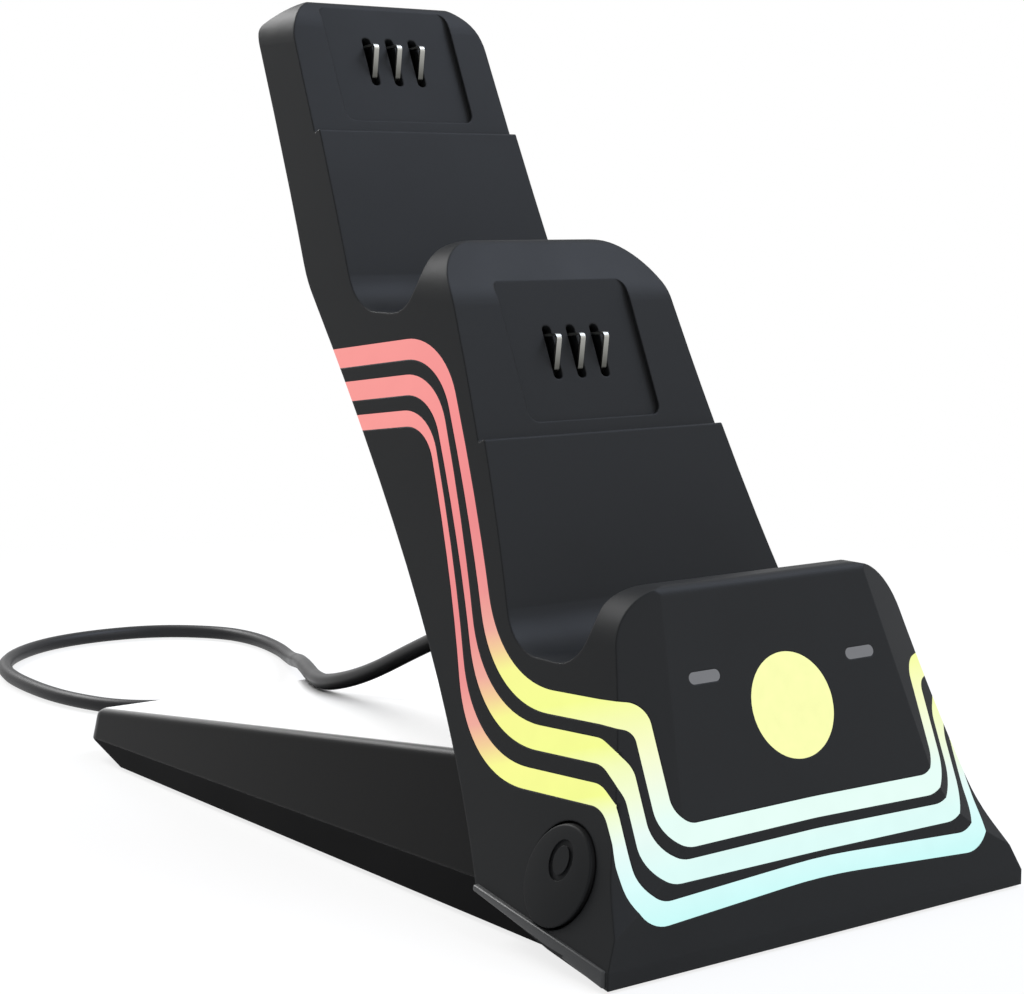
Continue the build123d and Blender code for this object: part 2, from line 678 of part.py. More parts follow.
# Housing
shell = outer - hollow
x, y = shell_screw
shell += both_sides(pill(Plane.XY, x, y, post_radius, shell_boss_z, shell_boss_top)) & outer
slab_boss = pill(slab, slab_screw[0], slab_screw[1], post_radius, cover_wall - slab_thickness, -recess_depth)
rear_boss = pill(rear_seat, rear_screw_x, 0, post_radius, -rear_boss_length, -cover_wall)
shell += both_sides(slab_boss + rear_boss) & outer
contacts = {}
blocks = []
boards = []
block_mid = 0.5 * (block_low + block_high)
block_rear = -wall - block_depth
board_rear = block_rear - board_thickness
crown_tops = [crown_z - notch_z, slab_top_z - slab_crown - notch_z - step_up]
for cradle, name in enumerate(("lower", "upper")):
    seat = seat_plane(cradle)
    crown_up = crown_tops[cradle] / math.cos(math.radians(lean))
    shell += both_sides(pill(seat, stake_x, block_mid, stake_radius, board_rear - stake_proud, -recess_depth))
    shell -= brick(seat, 0, recess_low, crown_up + recess_run, recess_half, -recess_depth, wall, recess_round)
    block = brick(seat, 0, block_low, block_high, block_half, block_rear, -wall)
    upper_edges = block.edges().filter_by(Axis.X).group_by(Axis((0, 0, 0), seat.y_dir))[-1]
    block = chamfer(upper_edges.sort_by(Axis((0, 0, 0), seat.z_dir))[-1], block_bevel)
    holes = both_sides(pill(seat, stake_x, block_mid, stake_radius + stake_gap, board_rear, -wall))
    for index, place in enumerate(("left", "middle", "right")):
        x = (index - 0.5 * (contact_count - 1)) * contact_pitch
        shell -= brick(seat, x, slot_low, slot_high, 0.5 * slot_width, -wall, wall, slot_round)
        block -= brick(seat, x, slot_low, slot_high, 0.5 * slot_width, -wall - pocket_depth, -wall)
        contacts[f"{name}_contact_{place}"] = leaf(cradle, index)
    blocks.append(block - holes)
    boards.append(brick(seat, 0, block_low, block_high, block_half, board_rear, block_rear) - holes)
shell = shell - below_rim() - button_hole - emblem - window_left - window_right - base_screws(screw_gap)
shell -= cover_screws(screw_gap)
for guide in guides:
    shell -= guide

# Rear cover, foot and base
relief = make_relief()
cover = form(rear_band(cover_wall, cover_drop + seam) & side, wall + seam)
cover = cover - below_rim() - cover_screws(screw_gap) - relief
foot = make_foot() - base_screws(screw_gap)
pads = both_sides(Part() + [pill(Plane.XY, x, y, foot_pad_radius, 0.0, feet_height + foot_pad_sink)
                            for x, y in pad_places])
plate = make_plate() - base_screws(screw_gap) - board_screws(screw_gap) - pads
board = brick(Plane.XY, 0, board_front_y, board_rear_y, board_half, board_z, board_top)
board -= board_screws(screw_gap)

# Lead, from the strain relief over the foot and round on the table to the coil
outlet = rear_plane(relief_z)
start = [tuple(outlet.from_local_coords((0, 0, out))) for out in (relief_length, relief_length + lead_out)]
route = start + lead_over + [(x, y, 0.5 * cord_diameter) for x, y in lead_table]
radii = bend_radii(route)
path = FilletPolyline(*route, radius=radii)
cord = sweep(Plane(path @ 0, z_dir=path % 0) * Circle(0.5 * cord_diameter), path=path)
coil = make_coil()
tie = Pos(coil_x, coil_y - coil_mid_radius, coil_lift + 0.5 * coil_height)
tie *= Box(tie_width, coil_lanes * cord_diameter + 4 * tie_thickness, coil_height + 2 * tie_thickness)
tie -= coil
plug_body, plug_shell = make_plug()
section = math.pi * (0.5 * cord_diameter) ** 2
turns = (lead_length - path.length - coil_tail) / (2 * math.pi * coil_mid_radius)
print("least bend radius", min(radii))
print("tube volume over section x length", cord.volume / (section * path.length))
print("lead on show", path.length, "turns in the coil", turns)

nodes = {
    "front_shell": shell,
    "rear_cover": cover,
    "base_plate": plate,
    "foot_shell": foot,
    "rubber_feet": pads,
    "light_guide_upper": guides[0],
    "light_guide_middle": guides[1],
    "light_guide_lower": guides[2],
    "emblem_lens": emblem,
    "charge_window_left": window_left,
    "charge_window_right": window_right,
    "mode_button": button,
    "button_switch": switch,
    "main_board": board,
    "lower_contact_block": blocks[0],
    "upper_contact_block": blocks[1],
    "lower_contact_board": boards[0],
    "upper_contact_board": boards[1],
    "strain_relief": relief,
    "base_screws": base_screws(0.0),
    "cover_screws": cover_screws(0.0),
    "board_screws": board_screws(0.0),
    "cord": cord,
    "cord_coil": coil,
    "cord_tie": tie,
    "plug_body": plug_body,
    "plug_shell": plug_shell,
}
nodes.update(contacts)

os.makedirs("parts", exist_ok=True)
for name, shape in nodes.items():
    export_step(Pos(0, -0.5 * depth, 0) * shape, f"parts/{name}.step")
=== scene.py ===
import math
import bmesh
import bpy
from mathutils import Matrix, Vector


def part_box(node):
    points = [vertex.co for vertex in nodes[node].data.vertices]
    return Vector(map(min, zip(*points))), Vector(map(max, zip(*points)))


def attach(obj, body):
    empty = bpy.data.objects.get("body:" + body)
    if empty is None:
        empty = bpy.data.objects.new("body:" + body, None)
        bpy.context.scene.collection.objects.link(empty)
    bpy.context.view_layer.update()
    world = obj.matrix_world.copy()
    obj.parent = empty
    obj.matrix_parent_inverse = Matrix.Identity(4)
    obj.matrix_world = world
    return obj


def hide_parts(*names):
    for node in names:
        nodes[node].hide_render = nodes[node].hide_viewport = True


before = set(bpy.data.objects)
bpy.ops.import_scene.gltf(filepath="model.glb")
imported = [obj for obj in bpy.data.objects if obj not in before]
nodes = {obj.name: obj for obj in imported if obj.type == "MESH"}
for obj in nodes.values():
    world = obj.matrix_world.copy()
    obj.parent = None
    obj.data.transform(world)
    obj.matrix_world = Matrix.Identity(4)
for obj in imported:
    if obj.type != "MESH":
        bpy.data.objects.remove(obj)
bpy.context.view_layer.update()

scene = bpy.context.scene
bpy.ops.object.select_all(action="DESELECT")

MM = 0.001
DEPTH = 190.0          # front edge of the dock to the tail of its foot, in millimetres
CORD_DIAMETER = 3.6


def spot(x, y, z):
    """A place in millimetres, with y from the dock's front edge, in the shared frame."""
    return Vector((x, y - DEPTH / 2, z)) * MM


def linear(hex_colour):
    """An sRGB hex colour as linear red, green, blue and alpha."""
    channels = [int(hex_colour[i:i + 2], 16) / 255 for i in (1, 3, 5)]
    return tuple(c / 12.92 if c <= 0.04045 else ((c + 0.055) / 1.055) ** 2.4 for c in channels) + (1.0,)


def add(tree, kind, values=None, **settings):
    """Adds a node: settings go on the node, values on its sockets, and a socket given as a value is linked."""
    made = tree.nodes.new(kind)
    for name, value in settings.items():
        setattr(made, name, value)
    for name, value in (values or {}).items():
        if isinstance(value, bpy.types.NodeSocket):
            tree.links.new(value, made.inputs[name])
        else:
            made.inputs[name].default_value = value
    return made


def start_material(name):
    """A new material with only its output node."""
    material = bpy.data.materials.new(name)
    material.use_nodes = True
    material.node_tree.nodes.clear()
    return material, material.node_tree, add(material.node_tree, "ShaderNodeOutputMaterial")


def set_ramp(ramp, stops):
    """Gives a colour ramp its stops, each a position and a hex colour."""
    elements = ramp.color_ramp.elements
    for _ in stops[2:]:
        elements.new(0.5)
    for element, (position, colour) in zip(elements, stops):
        element.position = position
        element.color = linear(colour)


def give(material, *names):
    """Puts one material on CAD nodes."""
    for name in names:
        mesh = nodes[name].data
        mesh.materials.clear()
        mesh.materials.append(material)


# Camera at the photograph's place
camera = bpy.data.cameras.new("photo_camera")
camera.sensor_width = 36.0
camera.lens = 80.06
camera_object = bpy.data.objects.new("photo_camera", camera)
right = Vector((0.8021, -0.5974, 0.0))
down = Vector((-0.07425, -0.0997, -0.9922))
forward = Vector((0.5926, 0.7957, -0.1243))
turn = Matrix((right, -down, -forward)).transposed()
camera_object.matrix_world = Matrix.Translation((-0.2586, -0.3547, 0.1182)) @ turn.to_4x4()
scene.collection.objects.link(camera_object)
scene.camera = camera_object


def moulded_plastic(name, colour, worn, roughness, spread, specular, grain_mm, grain_height, edge_mm):
    """Moulded thermoplastic: cloudy gloss, the fine grain of an eroded mould and edges softened by the tool."""
    cloud_mm = 18.0
    material, tree, output = start_material(name)
    place = add(tree, "ShaderNodeTexCoord").outputs["Object"]
    clouds = add(tree, "ShaderNodeTexNoise", {"Vector": place, "Scale": 1 / (cloud_mm * MM), "Detail": 3.0})
    grain = add(tree, "ShaderNodeTexNoise", {"Vector": place, "Scale": 1 / (grain_mm * MM), "Detail": 2.0})
    tint = add(tree, "ShaderNodeMix", {"Factor": clouds.outputs["Fac"], "A": linear(colour), "B": linear(worn)},
               data_type="RGBA")
    gloss = add(tree, "ShaderNodeMapRange", {"Value": clouds.outputs["Fac"], "From Min": 0.3, "From Max": 0.7,
                                             "To Min": roughness, "To Max": roughness + spread})
    edge = add(tree, "ShaderNodeBevel", {"Radius": edge_mm * MM}, samples=6)
    bump = add(tree, "ShaderNodeBump", {"Height": grain.outputs["Fac"], "Strength": 0.25,
                                        "Distance": grain_height * MM, "Normal": edge.outputs["Normal"]})
    shader = add(tree, "ShaderNodeBsdfPrincipled", {
        "Base Color": tint.outputs["Result"], "Roughness": gloss.outputs["Result"],
        "Specular IOR Level": specular, "Normal": bump.outputs["Normal"]})
    tree.links.new(shader.outputs["BSDF"], output.inputs["Surface"])
    return material


# Moulded ABS with a fine eroded grain: black with soft highlights that run along the rounded edges
housing = moulded_plastic("satin_abs_housing", "#1b1c1d", "#1f2021", 0.44, 0.08, 0.085, 0.6, 0.02, 0.5)
button_abs = moulded_plastic("satin_abs_button", "#161718", "#1a1b1c", 0.46, 0.08, 0.085, 0.5, 0.02, 0.12)
# The base is the same plastic, its colour darkened to a deeper black: painted shade under the housing
base_painted_shade = moulded_plastic("satin_abs_base_painted_shade", "#070708", "#0a0a0b", 0.5, 0.08, 0.04, 0.7, 0.02, 0.4)
# Glass-filled nylon holds the contacts: dull and dark, with a coarser grain; on the button's side wall the same dark
# material is painted shade for the gap round the cap
nylon_and_painted_shade = moulded_plastic("glass_filled_nylon_and_painted_shade", "#0a0a0b", "#0e0e0f", 0.55, 0.08, 0.15, 0.5, 0.03, 0.1)
# Nitrile rubber: matt, and paler where it has rubbed
rubber = moulded_plastic("nitrile_rubber_feet", "#0b0b0b", "#121212", 0.75, 0.1, 0.2, 0.8, 0.05, 0.3)
# Soft PVC: close to the housing's black, with a waxy sheen
lead_pvc = moulded_plastic("soft_pvc_lead", "#1a1a1b", "#202021", 0.40, 0.08, 0.2, 2.0, 0.02, 0.2)
# The bead: the same black ABS with more specular, so more of the room in it, and a paler colour that is painted
# highlight for the light its ledge catches
bead_painted_highlight = moulded_plastic("abs_bead_painted_highlight", "#2c2d2e", "#323334", 0.35, 0.06, 0.3, 0.8, 0.01, 0.3)
# Glass-epoxy laminate under green solder mask
board = moulded_plastic("solder_masked_laminate", "#0e3d22", "#124a2a", 0.30, 0.08, 0.5, 1.2, 0.02, 0.1)
give(housing, "front_shell", "rear_cover")
# Painted shade: the base's colour is darker than the housing's
give(base_painted_shade, "base_plate")
give(nylon_and_painted_shade, "lower_contact_block", "upper_contact_block", "button_switch")
give(rubber, "rubber_feet")
give(board, "main_board", "lower_contact_board", "upper_contact_board")


def polished_plastic(name, colour, worn):
    """Polished ABS: black, and a mirror at a low angle, where it takes on the white of the room."""
    cloud_mm, edge_mm, mirror_power, mirror_gain = 25.0, 0.6, 14.0, 8.0
    material, tree, output = start_material(name)
    place = add(tree, "ShaderNodeTexCoord").outputs["Object"]
    clouds = add(tree, "ShaderNodeTexNoise", {"Vector": place, "Scale": 1 / (cloud_mm * MM), "Detail": 2.0})
    tint = add(tree, "ShaderNodeMix", {"Factor": clouds.outputs["Fac"], "A": linear(colour), "B": linear(worn)},
               data_type="RGBA")
    gloss = add(tree, "ShaderNodeMapRange", {"Value": clouds.outputs["Fac"], "To Min": 0.3, "To Max": 0.38})
    edge = add(tree, "ShaderNodeBevel", {"Radius": edge_mm * MM}, samples=6)
    body = add(tree, "ShaderNodeBsdfPrincipled", {
        "Base Color": tint.outputs["Result"], "Roughness": gloss.outputs["Result"], "Specular IOR Level": 0.08,
        "Normal": edge.outputs["Normal"]})
    mirror = add(tree, "ShaderNodeBsdfGlossy", {"Color": (1, 1, 1, 1), "Roughness": 0.35})
    facing = add(tree, "ShaderNodeLayerWeight", {"Blend": 0.5}).outputs["Facing"]
    steep = add(tree, "ShaderNodeMath", {0: facing, 1: mirror_power}, operation="POWER")
    share = add(tree, "ShaderNodeMath", {0: steep.outputs["Value"], 1: mirror_gain}, operation="MULTIPLY",
                use_clamp=True)
    mixed = add(tree, "ShaderNodeMixShader", {"Fac": share.outputs["Value"]})
    tree.links.new(body.outputs["BSDF"], mixed.inputs[1])
    tree.links.new(mirror.outputs["BSDF"], mixed.inputs[2])
    tree.links.new(mixed.outputs["Shader"], output.inputs["Surface"])
    return material


give(polished_plastic("polished_abs_foot", "#090909", "#0c0c0d"), "foot_shell")


def plated_metal(name, colour, dull, roughness, line_mm, painted_highlight_z, fade_mm):
    """Plated metal: fine rolling lines break its highlights, and its colour is a painted highlight, paler near one
    height and darker away from it.
    """
    material, tree, output = start_material(name)
    place = add(tree, "ShaderNodeTexCoord").outputs["Object"]
    # Painted highlight: paler near the given height, darker away from it
    height = add(tree, "ShaderNodeSeparateXYZ", {"Vector": place}).outputs["Z"]
    away = add(tree, "ShaderNodeMath", {0: height, 1: painted_highlight_z * MM}, operation="SUBTRACT")
    away = add(tree, "ShaderNodeMath", {0: away.outputs["Value"]}, operation="ABSOLUTE")
    off_painted_highlight = add(tree, "ShaderNodeMapRange", {"Value": away.outputs["Value"], "From Max": fade_mm * MM})
    tint = add(tree, "ShaderNodeMix", {"Factor": off_painted_highlight.outputs["Result"], "A": linear(colour), "B": linear(dull)},
               data_type="RGBA")
    squeeze = add(tree, "ShaderNodeMapping", {"Vector": place, "Scale": (1.0, 0.1, 0.1)})
    lines = add(tree, "ShaderNodeTexNoise", {"Vector": squeeze.outputs["Vector"], "Scale": 1 / (line_mm * MM)})
    rough = add(tree, "ShaderNodeMapRange", {"Value": lines.outputs["Fac"], "To Min": roughness,
                                             "To Max": roughness + 0.15})
    shader = add(tree, "ShaderNodeBsdfPrincipled", {
        "Base Color": tint.outputs["Result"], "Metallic": 1.0, "Roughness": rough.outputs["Result"]})
    tree.links.new(shader.outputs["BSDF"], output.inputs["Surface"])
    return material


# Bronze under nickel: a painted highlight makes it paler at the bend and darker towards the root
for row, apex_z in (("lower", 96.4), ("upper", 151.4)):
    metal = plated_metal(f"nickel_plated_bronze_painted_highlight_{row}", "#a9a9a4", "#5c5c58", 0.28, 0.3, apex_z, 6.0)
    give(metal, *[f"{row}_contact_{side}" for side in ("left", "middle", "right")])
# Zinc on screw heads: an even pale grey
steel = plated_metal("zinc_plated_steel", "#b9bcc0", "#9a9da2", 0.28, 0.4, 0.0, 200.0)
# Nickel on the plug's shell: brighter than the screws, with sharper lights
plug_metal = plated_metal("nickel_plated_steel_shell", "#c9cbce", "#b5b7ba", 0.2, 0.5, 4.0, 8.0)
give(steel, "base_screws", "cover_screws", "board_screws")
give(plug_metal, "plug_shell")


def light_guide(name, corner_z, front, leg_low, leg_top, corner):
    """Lit polycarbonate: coral at the rear, yellow at the bend and a pale blue white across the front."""
    depth_share, corner_y = 0.3, 8.0
    before_corner, behind_corner = 22.0, 82.0   # length of the colour run, in the same measure
    mottle_mm = 6.0
    material, tree, output = start_material(name)
    place = add(tree, "ShaderNodeTexCoord").outputs["Object"]
    axes = add(tree, "ShaderNodeSeparateXYZ", {"Vector": place})
    # Height plus a share of the depth rises all the way from the front of a stripe to its rear end
    back = add(tree, "ShaderNodeMath", {0: axes.outputs["Y"], 1: depth_share}, operation="MULTIPLY")
    way = add(tree, "ShaderNodeMath", {0: axes.outputs["Z"], 1: back.outputs["Value"]}, operation="ADD")
    at_corner = (corner_z + depth_share * (corner_y - DEPTH / 2)) * MM
    span = add(tree, "ShaderNodeMapRange", {
        "Value": way.outputs["Value"], "From Min": at_corner - before_corner * MM,
        "From Max": at_corner + behind_corner * MM})
    ramp = add(tree, "ShaderNodeValToRGB", {"Fac": span.outputs["Result"]})
    set_ramp(ramp, [
        (0.0, front), (0.05, front), (0.115, leg_low), (0.173, leg_top), (0.226, corner),
        (0.262, "#f7fe97"), (0.335, "#fbfc98"), (0.372, "#f6d29c"), (0.41, "#f1aea0"),
        (0.48, "#f09896"), (0.60, "#ee8e8f"), (0.79, "#f69494"), (1.0, "#fa9e9a")])
    mottle = add(tree, "ShaderNodeTexNoise", {"Vector": place, "Scale": 1 / (mottle_mm * MM), "Detail": 2.0})
    level = add(tree, "ShaderNodeMapRange", {"Value": mottle.outputs["Fac"], "To Min": 0.96, "To Max": 1.03})
    shader = add(tree, "ShaderNodeBsdfPrincipled", {
        "Base Color": linear("#0c0c0c"), "Roughness": 0.35, "Specular IOR Level": 0.0,
        "Emission Color": ramp.outputs["Color"], "Emission Strength": level.outputs["Result"]})
    tree.links.new(shader.outputs["BSDF"], output.inputs["Surface"])
    return material


# Each stripe: height of its corner, then its colours from the front up to the corner
STRIPES = {
    "upper": (39.2, "#e8fff8", "#f5fee4", "#fafecb", "#f8feb1"),
    "middle": (31.2, "#dffdf9", "#ebfcf6", "#f4fed9", "#f6febe"),
    "lower": (23.2, "#cdfcfa", "#ddfefd", "#eafdf9", "#f4fed5"),
}
for row, looks in STRIPES.items():
    give(light_guide(f"lit_polycarbonate_{row}", *looks), f"light_guide_{row}")


def frosted_window(name, colour, glow, strength):
    """Frosted polycarbonate over a lamp: a soft even glow with faint mottling."""
    mottle_mm = 2.5
    material, tree, output = start_material(name)
    place = add(tree, "ShaderNodeTexCoord").outputs["Object"]
    mottle = add(tree, "ShaderNodeTexNoise", {"Vector": place, "Scale": 1 / (mottle_mm * MM), "Detail": 2.0})
    level = add(tree, "ShaderNodeMapRange", {"Value": mottle.outputs["Fac"], "To Min": 0.95 * strength,
                                             "To Max": 1.05 * strength})
    shader = add(tree, "ShaderNodeBsdfPrincipled", {
        "Base Color": linear(colour), "Roughness": 0.4, "Specular IOR Level": 0.1,
        "Emission Color": linear(glow), "Emission Strength": level.outputs["Result"]})
    tree.links.new(shader.outputs["BSDF"], output.inputs["Surface"])
    return material


give(frosted_window("frosted_emblem_lens", "#14140c", "#fafdb2", 1.0), "emblem_lens")
give(frosted_window("smoked_charge_window", "#2a2b2d", "#7c7d80", 0.75), "charge_window_left", "charge_window_right")

def woven_tape(name, colour, worn, thread_mm):
    """Woven nylon tape: rows of fine looped threads with a dull sheen."""
    wave_scale = 0.314 / (thread_mm * MM)   # the wave texture repeats every 0.314 units at scale 1
    material, tree, output = start_material(name)
    place = add(tree, "ShaderNodeTexCoord").outputs["Object"]
    warp = add(tree, "ShaderNodeTexWave", {"Vector": place, "Scale": wave_scale, "Distortion": 1.5},
               bands_direction="X")
    weft = add(tree, "ShaderNodeTexWave", {"Vector": place, "Scale": wave_scale, "Distortion": 1.5},
               bands_direction="Y")
    cross = add(tree, "ShaderNodeMath", {0: warp.outputs["Fac"], 1: weft.outputs["Fac"]}, operation="MULTIPLY")
    tint = add(tree, "ShaderNodeMix", {"Factor": cross.outputs["Value"], "A": linear(colour), "B": linear(worn)},
               data_type="RGBA")
    bump = add(tree, "ShaderNodeBump", {"Height": cross.outputs["Value"], "Strength": 0.6, "Distance": 0.2 * MM})
    shader = add(tree, "ShaderNodeBsdfPrincipled", {
        "Base Color": tint.outputs["Result"], "Roughness": 0.8, "Specular IOR Level": 0.2,
        "Normal": bump.outputs["Normal"]})
    tree.links.new(shader.outputs["BSDF"], output.inputs["Surface"])
    return material


# Nylon tape on the coil: dull black, with the threads' paler tops
strap_nylon = woven_tape("woven_nylon_tape", "#0c0c0d", "#1e1e20", 0.7)

# Lead: from the strain relief over the foot, round on the table and into the coil
RELIEF_LENGTH = 16.0
LEAD_OUT = 16.0        # straight lead beyond the strain relief
OUTLET_Z = 57.0        # height of the outlet on the rear face
REAR_FOOT_Y = 30.9     # where the rear face meets the table
REAR_LEAN = math.radians(40.5)
outlet = spot(0.0, REAR_FOOT_Y + math.tan(REAR_LEAN) * OUTLET_Z, OUTLET_Z)
outwards = Vector((0.0, math.cos(REAR_LEAN), -math.sin(REAR_LEAN)))
over_foot = [(0.4, 120.0, 29.6), (0.6, 140.0, 20.6), (1.2, 157.0, 15.7), (6.5, 171.0, 14.3), (15.0, 188.0, 12.7),
             (24.5, 206.0, 10.0), (35.0, 226.0, 6.0), (44.0, 243.0, 2.6)]
on_table = [
    (50.5, 259.5), (53.0, 276.5), (50.2, 290.6), (37.0, 303.6), (18.6, 306.8), (1.3, 303.0), (-14.1, 290.6),
    (-22.2, 274.0), (-24.2, 252.5), (-22.8, 234.5), (-16.5, 217.5), (0.2, 208.8), (20.0, 206.5), (36.0, 206.0),
    (50.0, 201.0), (57.0, 188.0), (54.5, 170.0), (49.8, 151.0),
]
COIL_X, COIL_Y = 75.0, 148.0
COIL_RADIUS = 25.2     # middle of the outer turn
COIL_TURNS = 6.5       # inwards on the table, up a layer and out again
POINTS_A_TURN = 16
LAYER_Z = (2.6, 6.2)
CLIMB = (2.9, 3.6)     # turns between which the lead climbs to the upper layer
coil = []
for step in range(1, round(COIL_TURNS * POINTS_A_TURN) + 1):
    turns = step / POINTS_A_TURN
    radius = COIL_RADIUS - CORD_DIAMETER * min(turns, COIL_TURNS - turns)
    angle = math.pi + 2 * math.pi * turns
    climbed = min(max((turns - CLIMB[0]) / (CLIMB[1] - CLIMB[0]), 0.0), 1.0)
    coil.append((COIL_X + radius * math.cos(angle), COIL_Y + radius * math.sin(angle),
                 LAYER_Z[0] + (LAYER_Z[1] - LAYER_Z[0]) * climbed))
PLUG_X, PLUG_Y, PLUG_Z = 99.73, 170.0, 4.0   # where the lead goes into the plug
tail = [(99.9, 154.0, 5.6), (99.75, 162.0, 4.4), (PLUG_X, PLUG_Y, PLUG_Z)]
route = [outlet + outwards * RELIEF_LENGTH * MM, outlet + outwards * (RELIEF_LENGTH + LEAD_OUT) * MM]
route += [spot(*point) for point in over_foot]
route += [spot(x, y, CORD_DIAMETER / 2) for x, y in on_table]
route += [spot(*point) for point in coil + tail]

curve = bpy.data.curves.new("lead", "CURVE")
curve.dimensions = "3D"
curve.bevel_depth = CORD_DIAMETER / 2 * MM
curve.bevel_resolution = 4
curve.resolution_u = 8
spline = curve.splines.new("NURBS")
spline.points.add(len(route) - 1)
for point, place in zip(spline.points, route):
    point.co = (*place, 1.0)
spline.order_u = 3
spline.use_endpoint_u = True
lead = bpy.data.objects.new("lead", curve)
scene.collection.objects.link(lead)
curve.materials.append(lead_pvc)
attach(lead, "dock")
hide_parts("cord", "cord_coil")


def select_faces(piece, test):
    """Selects the faces of a piece in edit mode whose middle and normal pass a test."""
    bpy.ops.mesh.select_mode(type="FACE")
    bpy.ops.mesh.select_all(action="DESELECT")
    shape = bmesh.from_edit_mesh(piece.data)
    for face in shape.faces:
        if test(face.calc_center_median(), face.normal):
            face.select_set(True)
    bmesh.update_edit_mesh(piece.data)


def select_edges(piece, test):
    """Selects the edges of a piece in edit mode whose two ends pass a test."""
    bpy.ops.mesh.select_mode(type="EDGE")
    bpy.ops.mesh.select_all(action="DESELECT")
    shape = bmesh.from_edit_mesh(piece.data)
    for edge in shape.edges:
        if test(edge.verts[0].co, edge.verts[1].co):
            edge.select_set(True)
    bmesh.update_edit_mesh(piece.data)


def start_block(name, middle, size):
    """A block at its size and place, ready in edit mode."""
    bpy.ops.object.select_all(action="DESELECT")
    bpy.ops.mesh.primitive_cube_add(size=MM, location=middle, scale=size)
    piece = bpy.context.object
    piece.name = name
    bpy.ops.object.transform_apply(location=True, rotation=True, scale=True)
    bpy.ops.object.mode_set(mode="EDIT")
    return piece


def apply_modifier(piece, kind, **settings):
    """Adds a modifier and applies it at once."""
    bpy.ops.object.mode_set(mode="OBJECT")
    modifier = piece.modifiers.new(kind.lower(), kind)
    for name, value in settings.items():
        setattr(modifier, name, value)
    bpy.ops.object.modifier_apply(modifier=modifier.name)
    bpy.ops.object.mode_set(mode="EDIT")


def finish_piece(piece, material, body):
    """Turns the faces outwards, smooths the rounds and lets the piece ride on its body; None keeps its materials."""
    bpy.ops.mesh.select_all(action="SELECT")
    bpy.ops.mesh.normals_make_consistent(inside=False)
    bpy.ops.object.mode_set(mode="OBJECT")
    bpy.ops.object.shade_smooth_by_angle(angle=math.radians(35))
    piece.data.name = piece.name
    if material:
        piece.data.materials.append(material)
    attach(piece, body)
    bpy.ops.object.select_all(action="DESELECT")


def cut_across(place, normal):
    """Cuts all faces of the piece in edit mode along a plane, and keeps both sides."""
    bpy.ops.mesh.select_all(action="SELECT")
    bpy.ops.mesh.bisect(plane_co=place, plane_no=normal)


def make_boot():
    """Strain relief: flange behind the cover, neck through it and a ribbed taper outside."""
    flange, neck, base, tip = 5.5, 4.0, 5.0, 2.9
    cover_wall, flange_thickness, end_round = 2.4, 1.4, 0.4
    collar, rib_pitch, rib_gap, rib_depth, ribs = 2.2, 2.6, 1.1, 0.8, 5
    rings = [(flange, -cover_wall - flange_thickness), (flange, -cover_wall), (neck, -cover_wall), (neck, 0.0),
             (base, 0.0), (base, collar)]
    for rib in range(ribs):
        start = collar + rib * rib_pitch
        for z, sunk in ((start, rib_depth), (start + rib_gap, rib_depth), (start + rib_gap, 0.0),
                        (start + rib_pitch, 0.0)):
            rings.append((base + (tip - base) * z / RELIEF_LENGTH - sunk, z))
    rings.append((tip - end_round, RELIEF_LENGTH))
    bpy.ops.object.select_all(action="DESELECT")
    bpy.ops.mesh.primitive_circle_add(vertices=48, radius=rings[0][0] * MM, fill_type="NGON",
                                      location=(0, 0, rings[0][1] * MM))
    boot = bpy.context.object
    boot.name = "strain_relief_boot"
    bpy.ops.object.transform_apply(location=True, rotation=True, scale=True)
    bpy.ops.object.mode_set(mode="EDIT")
    bpy.ops.mesh.select_all(action="SELECT")
    for (radius, z), (next_radius, next_z) in zip(rings, rings[1:]):
        bpy.ops.mesh.extrude_region_move(TRANSFORM_OT_translate={"value": (0, 0, (next_z - z) * MM)})
        bpy.ops.transform.resize(value=(next_radius / radius, next_radius / radius, 1.0))
    bpy.ops.object.mode_set(mode="OBJECT")
    boot.matrix_world = Matrix.Translation(outlet) @ outwards.to_track_quat("Z", "Y").to_matrix().to_4x4()
    bpy.ops.object.transform_apply(location=True, rotation=True, scale=True)
    bpy.ops.object.mode_set(mode="EDIT")
    apply_modifier(boot, "BEVEL", width=0.2 * MM, segments=2, limit_method="ANGLE", angle_limit=math.radians(40))
    finish_piece(boot, lead_pvc, "dock")
    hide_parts("strain_relief")


